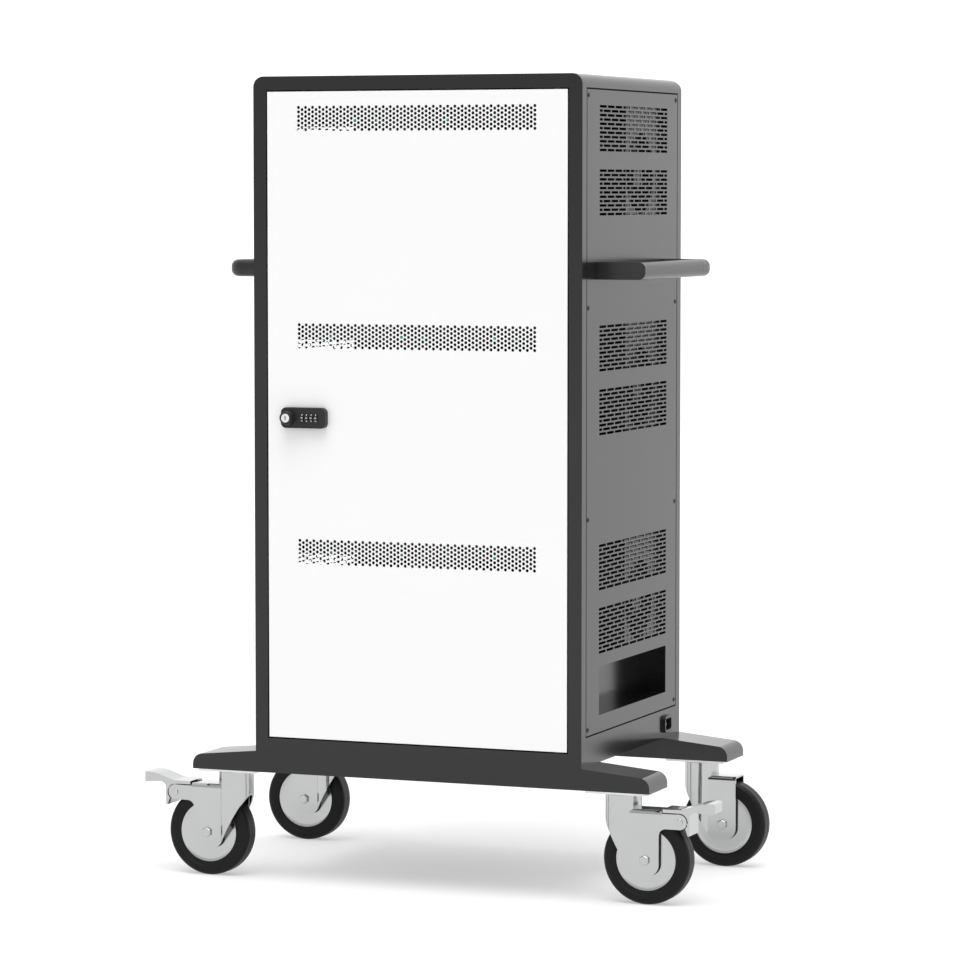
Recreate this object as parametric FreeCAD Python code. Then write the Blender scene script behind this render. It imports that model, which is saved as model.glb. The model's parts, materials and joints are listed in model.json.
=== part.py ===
# Wheeled charging cabinet: a sheet-steel body on two base beams and four swivel casters, with a
# perforated door, a combination cam lock, screwed side panels, side handles and fan-cooled shelves.
# Sizes are in millimetres. While the pieces are drawn, x runs to the right from the middle,
# y runs back from the front face and z runs up from the floor.
import FreeCAD
import Part
import math
import os

from FreeCAD import Vector

# Body of folded sheet
body_width = 490.0
body_depth = 413.0
body_height = 948.0
body_corner_radius = 15.0
sheet = 1.5

# Casters
wheel_diameter = 125.0
wheel_width = 31.0
hub_radius = 43.0
hub_face_width = 26.0
tyre_shoulder = 7.0
tyre_bead = 3.0
hub_rim_height = 1.0
hub_rim_width = 3.0
hub_boss_radius = 11.0
caster_height = 156.0
caster_trail = 37.5
caster_spread = 586.0
plate_length = 90.0
plate_width = 67.0
plate_thickness = 3.4
plate_bolt_spacing_x = 72.0
plate_bolt_spacing_y = 50.0
plate_bolt_radius = 4.0
plate_bolt_head_radius = 7.0
plate_bolt_head_depth = 2.8
plate_bolt_socket_across = 5.0
plate_bolt_socket_depth = 2.0
plate_rounding = 4.0
race_thickness = 2.0
race_inner_radius = 14.0
race_outer_radius = 21.0
kingpin_radius = 6.0
kingpin_head_radius = 10.0
kingpin_head_height = 4.0
fork_sheet = 2.5
fork_crown_radius = 25.0
fork_side_gap = 1.5
fork_leg_half_width = 20.0
fork_leg_end = 22.5
fork_web_gap = 4.5
fork_inner_drop = 25.6
fork_slant_run = 48.0
fork_corner_radius = 17.0
fork_shoulder_radius = 6.0
axle_radius = 5.0
axle_head_across = 13.0
axle_head_height = 4.5
brake_arm_reach = 50.0
brake_pivot_rise = 55.0
brake_arm_radius = 10.5
brake_pin_radius = 3.0
pedal_tip_reach = 50.0
pedal_gap = 1.5
pedal_sheet = 2.5
pedal_inner_reach = 24.0
pedal_back_height = 4.7
pedal_rise_start = 2.0
pedal_rise_end = 33.0
pedal_back_bend = 25.0
pedal_crown_bend = 60.0
pedal_tip_low = 12.2
pedal_tip_height = 15.0
pedal_tip_edge = 3.0
pedal_tip_rounding = 6.0
pedal_throat_height = 15.0
pedal_throat_bend = 9.0
pedal_wall_drop = 18.5
pedal_boss_radius = 8.0
pedal_lug_half = 12.0
brake_rivet_radius = 4.5
brake_rivet_height = 1.5

# Base beams
beam_length = 687.0
beam_width = 75.0
beam_height = 30.0
beam_end_drop = 9.5
beam_end_radius = 15.0
beam_wall = 3.0

# Front frame and door
frame_border = 19.5
frame_sheet = 2.0
frame_return = 24.0
door_gap = 2.0
door_thickness = 18.0
door_lip = 19.0
hinge_inset = 15.0
hinge_setback = 7.0
hinge_pin_radius = 4.0
hinge_bush_radius = 6.5
hinge_block_height = 6.0
hinge_pin_head_height = 3.0

# Perforated strips of the door and slot vents of the sides
level_count = 3
level_pitch = 302.05
level_base = 300.4
hole_radius = 2.3
hole_column_pitch = 5.33
hole_row_pitch = 6.16
hole_columns = 67
hole_rows = 6
slot_length = 28.0
slot_height = 3.5
slot_gap = 3.8
slot_row_pitch = 5.96
slot_rows = 11
slots_per_row = 9
vent_start = 68.5
vent_drop = 87.9

# Side panels
panel_front = 19.0
panel_rear_margin = 18.4
panel_bottom = 42.3
panel_gap = 2.2
flange_width = 14.0
flange_overlap = 9.0
roof_skirt = 19.0
screw_inset = 6.0
screw_end_inset = 8.0
screws_per_edge = 4
screw_radius = 1.9
screw_head_radius = 3.4
screw_head_height = 1.0

# Cord niche and power inlet in the right side
niche_start = 69.7
niche_length = 281.0
niche_bottom = 65.7
niche_height = 67.6
niche_depth = 40.0
inlet_from_rear = 60.0
inlet_rise = 19.2
inlet_width = 29.0
inlet_height = 24.5
inlet_stand_out = 4.5
inlet_rounding = 6.0
inlet_body_width = 27.0
inlet_body_height = 20.0
inlet_body_depth = 20.0
inlet_mouth_width = 24.0
inlet_mouth_height = 16.5
inlet_mouth_chamfer = 2.7
inlet_mouth_depth = 17.0
inlet_pin_length = 11.0
inlet_pin_width = 2.0
inlet_pin_height = 4.0
inlet_pin_spacing = 7.0

# Side handles
handle_front = 57.0
handle_length = 296.0
handle_reach = 70.7
handle_rise = 679.8
handle_height = 24.2
handle_thickness = 20.0
handle_rounding = 9.8
handle_inner_bend = 2.0
handle_elbow_length = 47.0
handle_bolt_radius = 3.0
handle_bolt_depth = 25.0
handle_bolt_head_radius = 5.0
handle_bolt_head_height = 5.0

# Combination cam lock
lock_from_edge = 23.4
lock_rise = 472.8
lock_length = 67.6
lock_height = 28.8
lock_thickness = 10.0
lock_rounding = 7.5
lock_rim = 2.5
lock_housing_depth = 6.0
knob_offset = 11.7
knob_radius = 10.5
knob_front_radius = 8.8
knob_reach = 21.0
key_plug_radius = 6.2
key_plug_depth = 9.0
keyway_width = 1.6
keyway_height = 6.0
keyway_depth = 6.0
shaft_radius = 6.0
barrel_radius = 8.5
cam_setback = 5.0
cam_thickness = 3.0
cam_length = 27.0
cam_width = 14.0
cam_rounding = 6.5
cam_spigot_radius = 4.0
cam_spigot_proud = 1.5
dial_count = 4
dial_pitch = 6.9
dial_radius = 7.4
dial_width = 4.6
dial_proud = 2.2
dial_offset = 43.3
dial_axle_radius = 1.5
dial_clearance = 0.4
strike_setback = 1.5
strike_thickness = 2.5
strike_reach = 16.5
strike_height = 60.0

# Charging levels inside
slot_count = 9
device_pitch = 35.0
divider_front = 50.0
divider_depth = 280.0
divider_height = 170.0
divider_corner = 30.0
shelf_front = 27.0
shelf_rear_gap = 6.0
shelf_lip = 15.0
module_front = 31.0
module_depth = 63.0
module_width = 410.0
module_drops = [33.0, 33.0, 37.5]
led_below_shelf = 28.0
led_radius = 1.8
led_length = 2.0
led_below_strip_top = 17.0
supply_width = 200.0
supply_depth = 60.0
supply_height = 90.0
supply_left = -120.0
supply_from_rear = 75.0

# Cooling fan of each level, behind the vents of the right side
fan_plate_gap = 6.0
fan_plate_start = 198.0
fan_plate_width = 148.0
fan_plate_height = 168.0
fan_y = 258.6
fan_drop = 102.5
fan_opening_radius = 57.0
fan_size = 119.0
fan_rounding = 5.0
fan_depth = 25.0
fan_peg_radius = 2.0
fan_peg_spacing = 105.0
fan_strut_width = 5.0
fan_strut_thickness = 3.0
fan_strut_count = 4
fan_shaft_radius = 2.5
fan_shaft_length = 13.5
fan_hub_radius = 18.0
fan_hub_setback = 1.5
fan_hub_depth = 19.0
fan_blade_count = 7
fan_blade_reach = 55.0
fan_blade_chord = 16.0
fan_blade_thickness = 1.8
fan_blade_pitch = 35.0

# Fits
running_fit = 0.05
flat_fit = 0.3

# Heights and places that follow from the sizes above
body_bottom = caster_height + beam_height
body_top = body_bottom + body_height
half_width = body_width / 2
roof_bottom = body_top - roof_skirt
side_inner = half_width - sheet
flange_inner = side_inner - sheet
opening_half = half_width - frame_border
opening_bottom = body_bottom + frame_border
opening_top = body_top - frame_border
door_half = opening_half - door_gap
door_bottom = opening_bottom + door_gap
door_top = opening_top - door_gap
hinge_x = door_half - hinge_inset
panel_rear = body_depth - panel_rear_margin
panel_low = body_bottom + panel_bottom
panel_high = roof_bottom - panel_gap
strip_tops = [body_bottom + level_base + i * level_pitch for i in range(level_count)]
led_heights = [top - led_below_strip_top for top in strip_tops]
shelf_heights = [led + led_below_shelf for led in led_heights]
floor_top = body_bottom + sheet
level_floors = [floor_top] + [height + sheet for height in shelf_heights[:-1]]
lock_z = body_bottom + lock_rise
lock_left = -door_half + lock_from_edge
knob_x = lock_left + knob_offset
dial_x = lock_left + dial_offset
dial_y = -lock_thickness + dial_radius - dial_proud
cam_y = door_thickness + cam_setback
handle_z = body_bottom + handle_rise
inlet_y = body_depth - inlet_from_rear
inlet_z = body_bottom + inlet_rise
swivel_x = caster_spread / 2
beam_fronts = {"front": 0.0, "rear": body_depth - beam_width}
wheel_radius = wheel_diameter / 2
crown_top = caster_height - plate_thickness - race_thickness
fork_inner_half = wheel_width / 2 + fork_side_gap
fork_outer_half = fork_inner_half + fork_sheet
fork_web_bottom = wheel_diameter + fork_web_gap
fork_web_top = fork_web_bottom + fork_sheet
rear_inner = body_depth - screw_head_height - sheet
fan_plate_x = flange_inner - fan_plate_gap - sheet
fan_heights = [height - fan_drop for height in shelf_heights]
front_y = (knob_reach - body_depth) / 2


# Drawing helpers
def in_xz(y):
    return lambda u, v: Vector(u, y, v)


def in_yz(x):
    return lambda u, v: Vector(x, u, v)


def in_xy(z):
    return lambda u, v: Vector(u, v, z)


def box(x0, x1, y0, y1, z0, z1):
    return Part.makeBox(x1 - x0, y1 - y0, z1 - z0, Vector(x0, y0, z0))


def rod(radius, start, end):
    along = end - start
    return Part.makeCylinder(radius, along.Length, start, along)


def outline(corners, place):
    """Closed wire through corners (u, v, radius), each corner rounded by its own radius."""
    edges = []
    last = None
    first = None
    for i, (u, v, radius) in enumerate(corners):
        point = Vector(u, v, 0)
        back = Vector(*corners[i - 1][:2], 0) - point
        ahead = Vector(*corners[(i + 1) % len(corners)][:2], 0) - point
        half = back.getAngle(ahead) / 2
        back.normalize()
        ahead.normalize()
        run = radius / math.tan(half)
        enter = point + back * run
        leave = point + ahead * run
        if last is None:
            first = enter
        elif (enter - last).Length > 1e-6:
            edges.append(Part.LineSegment(place(last.x, last.y), place(enter.x, enter.y)).toShape())
        if radius > 0:
            bisector = (back + ahead).normalize()
            middle = point + bisector * (radius / math.sin(half) - radius)
            arc = Part.Arc(place(enter.x, enter.y), place(middle.x, middle.y), place(leave.x, leave.y))
            edges.append(arc.toShape())
        last = leave
    if (first - last).Length > 1e-6:
        edges.append(Part.LineSegment(place(last.x, last.y), place(first.x, first.y)).toShape())
    return Part.Wire(edges)


def rectangle(u0, u1, v0, v1, place, radius=0.0):
    return outline([(u0, v0, radius), (u1, v0, radius), (u1, v1, radius), (u0, v1, radius)], place)


def circle(u, v, radius, place):
    centre = place(u, v)
    normal = (place(u + 1, v) - centre).cross(place(u, v + 1) - centre)
    return Part.Wire(Part.makeCircle(radius, centre, normal))


def slab(wires, along):
    """Flat piece with the first wire as its edge and the other wires as holes through it."""
    return Part.makeFace(wires, "Part::FaceMakerBullseye").extrude(along)


def fuse(first, *others):
    return first.fuse(list(others)).removeSplitter()


def hexagon_wire(across, u, v, place):
    reach = across / math.sqrt(3)
    points = []
    for i in range(6):
        turn = math.radians(60 * i + 30)
        points.append((u + reach * math.cos(turn), v + reach * math.sin(turn), 0))
    return outline(points, place)


def mirrored(shape):
    return shape.mirror(Vector(0, 0, 0), Vector(1, 0, 0))


def turned_about_middle(shape):
    copy = shape.copy()
    copy.rotate(Vector(0, body_depth / 2, 0), Vector(0, 0, 1), 180)
    return copy


def save(name, *solids):
    """Write one node, moved so that the origin is on the floor under the middle of the object."""
    shape = solids[0] if len(solids) == 1 else Part.Compound(list(solids))
    shape = shape.copy()
    shape.translate(Vector(0, front_y, 0))
    shape.exportStep("parts/" + name + ".step")


os.makedirs("parts", exist_ok=True)


# Front frame: a flat ring with rounded upper corners and a return all round the door opening
def make_front_frame():
    outer = outline([(-half_width, body_bottom, 0), (half_width, body_bottom, 0),
                     (half_width, body_top, body_corner_radius),
                     (-half_width, body_top, body_corner_radius)], in_xz(0))
    inner = rectangle(-opening_half, opening_half, opening_bottom, opening_top, in_xz(0))
    ring = slab([outer, inner], Vector(0, frame_sheet, 0))
    rim = opening_half + frame_sheet
    return_outer = rectangle(-rim, rim, opening_bottom - frame_sheet, opening_top + frame_sheet,
                             in_xz(frame_sheet))
    return_inner = rectangle(-opening_half, opening_half, opening_bottom, opening_top, in_xz(frame_sheet))
    tube = slab([return_outer, return_inner], Vector(0, frame_return - frame_sheet, 0))
    frame = fuse(ring, tube)
    pin_hole = rod(hinge_pin_radius + running_fit, Vector(hinge_x, hinge_setback, body_bottom),
                   Vector(hinge_x, hinge_setback, body_top))
    return frame.cut(pin_hole)


save("front_frame", make_front_frame())


# Roof: a pressed cap with its side and rear edges rolled over
def make_roof_block(inset):
    high = body_top - inset
    block = box(-half_width + inset, half_width - inset, frame_sheet, body_depth - inset, roof_bottom, high)
    rolled = []
    for edge in block.Edges:
        ends = [vertex.Point for vertex in edge.Vertexes]
        on_top = all(abs(point.z - high) < 1e-6 for point in ends)
        on_front = all(abs(point.y - frame_sheet) < 1e-6 for point in ends)
        if on_top and not on_front:
            rolled.append(edge)
    return block.makeFillet(body_corner_radius - inset, rolled)


save("roof", make_roof_block(0.0).cut(make_roof_block(sheet)))


# Side frames: the fixed border round a side panel, with a sunk flange behind the panel's edge
screw_span = panel_high - panel_low - 2 * screw_end_inset
screw_places = []
for edge_y in (panel_front + screw_inset, panel_rear - screw_inset):
    for i in range(screws_per_edge):
        screw_places.append((edge_y, panel_low + screw_end_inset + i * screw_span / (screws_per_edge - 1)))
handle_bolt_places = [(handle_front + handle_thickness / 2, handle_z),
                      (handle_front + handle_length - handle_thickness / 2, handle_z)]
rear_screw_x = side_inner - flange_width / 2
rear_screw_low = body_bottom + 2 * screw_end_inset
rear_screw_step = (roof_bottom - 2 * screw_end_inset - rear_screw_low) / (screws_per_edge - 1)
rear_screw_heights = [rear_screw_low + i * rear_screw_step for i in range(screws_per_edge)]


def make_rear_return():
    place = in_xz(rear_inner - sheet)
    edge = rectangle(side_inner - flange_width, side_inner, floor_top, roof_bottom, place)
    holes = [circle(rear_screw_x, z, screw_radius + running_fit, place) for z in rear_screw_heights]
    return slab([edge] + holes, Vector(0, sheet, 0))


def make_side_frame():
    border_corners = [(frame_sheet, body_bottom, 0), (body_depth, body_bottom, 0),
                      (body_depth, roof_bottom, 0), (panel_rear + panel_gap, roof_bottom, 0),
                      (panel_rear + panel_gap, panel_low - panel_gap, 0),
                      (panel_front - panel_gap, panel_low - panel_gap, 0),
                      (panel_front - panel_gap, roof_bottom, 0), (frame_sheet, roof_bottom, 0)]
    border = slab([outline(border_corners, in_yz(side_inner))], Vector(sheet, 0, 0))
    flange_outer = rectangle(panel_front - flange_overlap, panel_rear + flange_overlap,
                             panel_low - flange_overlap, body_top - body_corner_radius, in_yz(flange_inner))
    flange_window = rectangle(panel_front + flange_width, panel_rear - flange_width,
                              panel_low + flange_width, panel_high - flange_width, in_yz(flange_inner))
    screw_holes = [circle(y, z, screw_radius + running_fit, in_yz(flange_inner)) for y, z in screw_places]
    flange = slab([flange_outer, flange_window] + screw_holes, Vector(sheet, 0, 0))
    return fuse(border, flange, make_rear_return())


left_side_frame = mirrored(make_side_frame())
inlet_hole = box(flange_inner, half_width, inlet_y - inlet_body_width / 2, inlet_y + inlet_body_width / 2,
                 inlet_z - inlet_body_height / 2, inlet_z + inlet_body_height / 2)
save("left_side_frame", left_side_frame)
save("right_side_frame", make_side_frame().cut(inlet_hole))


# Side panels: flat sheets with staggered slot vents, screwed into the side frames
def slot(start, end, z, place):
    half = slot_height / 2
    first = start + half
    last = end - half
    lower = Part.LineSegment(place(first, z - half), place(last, z - half))
    far_end = Part.Arc(place(last, z - half), place(end, z), place(last, z + half))
    upper = Part.LineSegment(place(last, z + half), place(first, z + half))
    near_end = Part.Arc(place(first, z + half), place(start, z), place(first, z - half))
    return Part.Wire([curve.toShape() for curve in (lower, far_end, upper, near_end)])


def vent_slots(place):
    pitch = slot_length + slot_gap
    half_slot = (slot_length - slot_gap) / 2
    vent_end = vent_start + slots_per_row * pitch - slot_gap
    wires = []
    for strip_top in strip_tops:
        for vent_top in (strip_top, strip_top - vent_drop):
            for row in range(slot_rows):
                z = vent_top - row * slot_row_pitch
                if row % 2 == 0:
                    starts = [vent_start + i * pitch for i in range(slots_per_row)]
                else:
                    starts = [vent_start + half_slot + slot_gap + i * pitch for i in range(slots_per_row - 1)]
                    wires.append(slot(vent_start, vent_start + half_slot, z, place))
                    wires.append(slot(vent_end - half_slot, vent_end, z, place))
                for start in starts:
                    wires.append(slot(start, start + slot_length, z, place))
    return wires


def make_side_panel(bolt_places, windows):
    place = in_yz(side_inner)
    edge = rectangle(panel_front, panel_rear, panel_low, panel_high, place)
    holes = [circle(y, z, screw_radius + running_fit, place) for y, z in screw_places]
    holes += [circle(y, z, handle_bolt_radius + running_fit, place) for y, z in bolt_places]
    return slab([edge] + windows + holes + vent_slots(place), Vector(sheet, 0, 0))


niche_low = body_bottom + niche_bottom
niche_window = rectangle(niche_start, niche_start + niche_length, niche_low, niche_low + niche_height,
                         in_yz(side_inner))
left_bolt_places = [(body_depth - y, z) for y, z in handle_bolt_places]
save("right_side_panel", make_side_panel(handle_bolt_places, [niche_window]))
save("left_side_panel", mirrored(make_side_panel(left_bolt_places, [])))


# Floor pan and rear panel
rear_half = side_inner - flat_fit
rear_screw_places = [(x, z) for x in (-rear_screw_x, rear_screw_x) for z in rear_screw_heights]
rear_place = in_xz(rear_inner)
rear_edge = rectangle(-rear_half, rear_half, body_bottom, roof_bottom - panel_gap, rear_place)
rear_holes = [circle(x, z, screw_radius + running_fit, rear_place) for x, z in rear_screw_places]
save("floor_pan", box(-side_inner, side_inner, frame_sheet, rear_inner, body_bottom, floor_top))
save("rear_panel", slab([rear_edge] + rear_holes, Vector(0, sheet, 0)))


# Panel screws: pan heads on the panels, shanks through the panel and the flange behind it
def make_screw(head_seat, outward):
    head = rod(screw_head_radius, head_seat, head_seat + outward * screw_head_height)
    shank = rod(screw_radius, head_seat - outward * 2 * sheet, head_seat)
    return fuse(head, shank)


panel_screws = []
for side in (-1, 1):
    for y, z in screw_places:
        panel_screws.append(make_screw(Vector(side * half_width, y, z), Vector(side, 0, 0)))
for x, z in rear_screw_places:
    panel_screws.append(make_screw(Vector(x, rear_inner + sheet, z), Vector(0, 1, 0)))
save("panel_screws", *panel_screws)

# Cord niche: a folded pocket behind the window in the right side panel
niche_back = half_width - niche_depth
niche_shell = box(niche_back - sheet, side_inner, niche_start - sheet, niche_start + niche_length + sheet,
                  niche_low - sheet, niche_low + niche_height + sheet)
niche_hollow = box(niche_back, side_inner, niche_start, niche_start + niche_length,
                   niche_low, niche_low + niche_height)
save("cord_niche", niche_shell.cut(niche_hollow))

# Power inlet: a moulded appliance inlet with three contact pins, low on the right side
inlet_flange = slab([rectangle(inlet_y - inlet_width / 2, inlet_y + inlet_width / 2,
                               inlet_z - inlet_height / 2, inlet_z + inlet_height / 2,
                               in_yz(half_width), inlet_rounding)], Vector(inlet_stand_out, 0, 0))
inlet_body = box(half_width - inlet_body_depth, half_width,
                 inlet_y - inlet_body_width / 2, inlet_y + inlet_body_width / 2,
                 inlet_z - inlet_body_height / 2, inlet_z + inlet_body_height / 2)
inlet_face = half_width + inlet_stand_out
mouth_half = inlet_mouth_width / 2
mouth_low = inlet_z - inlet_mouth_height / 2
mouth_high = inlet_z + inlet_mouth_height / 2
mouth_corners = [(inlet_y - mouth_half, mouth_high, 0),
                 (inlet_y - mouth_half, mouth_low + inlet_mouth_chamfer, 0),
                 (inlet_y - mouth_half + inlet_mouth_chamfer, mouth_low, 0),
                 (inlet_y + mouth_half - inlet_mouth_chamfer, mouth_low, 0),
                 (inlet_y + mouth_half, mouth_low + inlet_mouth_chamfer, 0),
                 (inlet_y + mouth_half, mouth_high, 0)]
inlet_mouth = slab([outline(mouth_corners, in_yz(inlet_face - inlet_mouth_depth))],
                   Vector(inlet_mouth_depth, 0, 0))
save("power_inlet", fuse(inlet_flange, inlet_body).cut(inlet_mouth))
inlet_pins = []
for i in (-1, 0, 1):
    pin_y = inlet_y + i * inlet_pin_spacing
    pin_z = inlet_z + (inlet_pin_height / 2 if i == 0 else -inlet_pin_height / 2)
    pin_root = inlet_face - inlet_mouth_depth
    inlet_pins.append(box(pin_root, pin_root + inlet_pin_length,
                          pin_y - inlet_pin_width / 2, pin_y + inlet_pin_width / 2,
                          pin_z - inlet_pin_height / 2, pin_z + inlet_pin_height / 2))
save("power_inlet_pins", *inlet_pins)

# Handles: an extruded grip between a flat-ended arm and a bent elbow; the left one is the right
# one turned half round about the middle of the body
handle_low = handle_z - handle_height / 2
handle_high = handle_z + handle_height / 2
handle_outer = half_width + handle_reach
grip_inner = handle_outer - handle_thickness
grip_start = handle_front + handle_thickness
grip_end = handle_front + handle_length - handle_elbow_length
bend_x = grip_inner - handle_inner_bend
bend_y = handle_front + handle_length - handle_thickness - handle_inner_bend


def handle_section(y):
    return rectangle(grip_inner, handle_outer, handle_low, handle_high, in_xz(y), handle_rounding)


def make_handle_arm():
    corners = [(half_width, handle_low, 0), (handle_outer, handle_low, handle_rounding),
               (handle_outer, handle_high, handle_rounding), (half_width, handle_high, 0)]
    return slab([outline(corners, in_xz(handle_front))], Vector(0, handle_thickness, 0))


def make_handle_elbow():
    straight = slab([handle_section(grip_end)], Vector(0, bend_y - grip_end, 0))
    bend = Part.Face(handle_section(bend_y)).revolve(Vector(bend_x, bend_y, 0), Vector(0, 0, 1), 90)
    arm_section = rectangle(bend_y + handle_inner_bend, handle_front + handle_length,
                            handle_low, handle_high, in_yz(bend_x), handle_rounding)
    arm = slab([arm_section], Vector(half_width - bend_x, 0, 0))
    return fuse(straight, bend, arm)


def make_handle_bolt(y, z, clearance=0.0):
    shank = rod(handle_bolt_radius + clearance, Vector(side_inner, y, z),
                Vector(half_width + handle_bolt_depth, y, z))
    head = rod(handle_bolt_head_radius, Vector(side_inner - handle_bolt_head_height, y, z),
               Vector(side_inner, y, z))
    return fuse(shank, head)


bolt_holes = [make_handle_bolt(y, z, running_fit) for y, z in handle_bolt_places]
handle_ends = [make_handle_arm().cut(bolt_holes[0]), make_handle_elbow().cut(bolt_holes[1])]
handle_grip = slab([handle_section(grip_start)], Vector(0, grip_end - grip_start, 0))
handle_bolts = [make_handle_bolt(y, z) for y, z in handle_bolt_places]
save("handle_ends", *handle_ends, *[turned_about_middle(end) for end in handle_ends])
save("handle_grips", handle_grip, turned_about_middle(handle_grip))
save("handle_bolts", *handle_bolts, *[turned_about_middle(bolt) for bolt in handle_bolts])


# Base beams: closed box sections whose tops slope down outside the body
beam_end_top = body_bottom - beam_end_drop
beam_corners = [(-beam_length / 2, caster_height, 0), (beam_length / 2, caster_height, 0),
                (beam_length / 2, beam_end_top, beam_end_radius), (half_width, body_bottom, 0),
                (-half_width, body_bottom, 0), (-beam_length / 2, beam_end_top, beam_end_radius)]
plate_bolt_places = []
for side in (-1, 1):
    for dx in (-plate_bolt_spacing_x / 2, plate_bolt_spacing_x / 2):
        for dy in (-plate_bolt_spacing_y / 2, plate_bolt_spacing_y / 2):
            plate_bolt_places.append((side * swivel_x + dx, beam_width / 2 + dy))


def make_beam(start):
    outer = slab([outline(beam_corners, in_xz(start))], Vector(0, beam_width, 0))
    inner_wire = outline(beam_corners, in_xz(start + beam_wall)).makeOffset2D(-beam_wall)
    inner = slab([inner_wire], Vector(0, beam_width - 2 * beam_wall, 0))
    holes = [rod(plate_bolt_radius + running_fit, Vector(x, start + y, caster_height),
                 Vector(x, start + y, caster_height + beam_wall)) for x, y in plate_bolt_places]
    return outer.cut([inner] + holes)


save("base_beams", *[make_beam(start) for start in beam_fronts.values()])

# Caster top plates, their bolts, the swivel bearings and the kingpins, all fixed to the beams
plate_bottom = caster_height - plate_thickness


def countersink(x, y, clearance=0.0):
    return Part.makeCone(plate_bolt_head_radius + clearance, plate_bolt_radius + clearance,
                         plate_bolt_head_depth, Vector(x, y, plate_bottom), Vector(0, 0, 1))


def make_plate_bolt(x, y):
    shank = rod(plate_bolt_radius, Vector(x, y, plate_bottom + plate_bolt_head_depth),
                Vector(x, y, caster_height + beam_wall))
    socket = slab([hexagon_wire(plate_bolt_socket_across, x, y, in_xy(plate_bottom))],
                  Vector(0, 0, plate_bolt_socket_depth))
    return fuse(countersink(x, y), shank).cut(socket)


def make_plate(x, y):
    place = in_xy(plate_bottom)
    edge = rectangle(x - plate_length / 2, x + plate_length / 2, y - plate_width / 2, y + plate_width / 2,
                     place, plate_rounding)
    holes = [circle(x, y, kingpin_radius + running_fit, place)]
    sinks = []
    for dx in (-plate_bolt_spacing_x / 2, plate_bolt_spacing_x / 2):
        for dy in (-plate_bolt_spacing_y / 2, plate_bolt_spacing_y / 2):
            holes.append(circle(x + dx, y + dy, plate_bolt_radius + running_fit, place))
            sinks.append(countersink(x + dx, y + dy, running_fit))
    return slab([edge] + holes, Vector(0, 0, plate_thickness)).cut(sinks)


def make_race(x, y):
    place = in_xy(crown_top)
    return slab([circle(x, y, race_outer_radius, place), circle(x, y, race_inner_radius, place)],
                Vector(0, 0, race_thickness))


def make_kingpin(x, y):
    head_top = crown_top - fork_sheet - flat_fit
    shank = rod(kingpin_radius, Vector(x, y, head_top), Vector(x, y, caster_height))
    head = rod(kingpin_head_radius, Vector(x, y, head_top - kingpin_head_height), Vector(x, y, head_top))
    return fuse(shank, head)


caster_places = {}
for beam_name, beam_start in beam_fronts.items():
    for side_name, side in (("left", -1), ("right", 1)):
        caster_places[beam_name + "_" + side_name] = (side * swivel_x, beam_start + beam_width / 2)
beam_bolt_places = [(x, start + y) for start in beam_fronts.values() for x, y in plate_bolt_places]
caster_heads = []
for x, y in caster_places.values():
    caster_heads += [make_plate(x, y), make_race(x, y), make_kingpin(x, y)]
save("caster_heads", *caster_heads)
save("caster_bolts", *[make_plate_bolt(x, y) for x, y in beam_bolt_places])


# Caster forks: bent sheet round the swivel axis, drawn about that axis with the wheel towards +x
def fork_plan(radius, half, end, place):
    tangent = math.sqrt(radius ** 2 - half ** 2)
    sides = [Part.LineSegment(place(tangent, -half), place(end, -half)),
             Part.LineSegment(place(end, -half), place(end, half)),
             Part.LineSegment(place(end, half), place(tangent, half)),
             Part.Arc(place(tangent, half), place(-radius, 0), place(tangent, -half))]
    return Part.Wire([side.toShape() for side in sides])


def shoulder_corner(side, end):
    """Sliver outside the bend between the fork's web and one leg, from the crown to the web's end."""
    start = math.sqrt(fork_crown_radius ** 2 - fork_outer_half ** 2)
    bend_y = side * (fork_outer_half - fork_shoulder_radius)
    bend_z = fork_web_top - fork_shoulder_radius
    edges = sorted([bend_y, side * fork_outer_half])
    square = box(start, end, edges[0], edges[1], bend_z, fork_web_top)
    return square.cut(rod(fork_shoulder_radius, Vector(start, bend_y, bend_z), Vector(end, bend_y, bend_z)))


brake_x = caster_trail + brake_arm_reach
brake_z = wheel_radius + brake_pivot_rise
leg_end_x = caster_trail + fork_leg_half_width
web_end_x = brake_x - pedal_inner_reach - pedal_gap


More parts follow.
